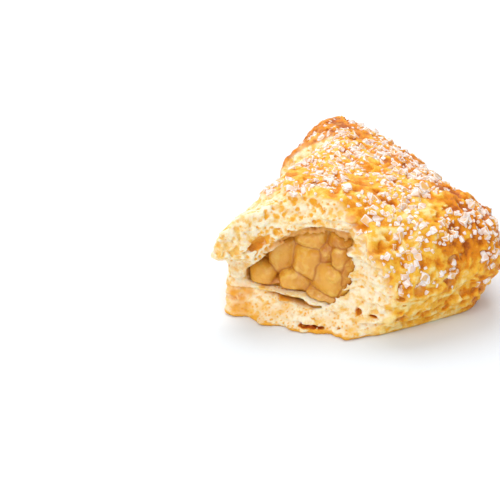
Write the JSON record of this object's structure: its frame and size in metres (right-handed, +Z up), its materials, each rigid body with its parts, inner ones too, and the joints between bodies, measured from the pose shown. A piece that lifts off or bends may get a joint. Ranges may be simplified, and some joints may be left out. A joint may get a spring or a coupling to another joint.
{
  "type": "apple turnover",
  "caption": "Baked triangular puff pastry turnover with coarse sugar on its domed crust, one corner torn off to show diced apple filling.",
  "frame": {"origin": "middle of the bounding box at the height of the flat base", "axes": "+Z up out of the domed crust; +Y along one open edge, from the square corner towards the back corner; the other open edge runs along -X from the square corner towards the torn corner"},
  "size_m": [0.086, 0.1124, 0.0377],
  "materials": {
    "pastry": "matt",
    "apple_filling": "gloss"
  },
  "bodies": {
    "root": {"pastry": "pastry", "apple_filling": "apple_filling"}
  },
  "joints": []
}
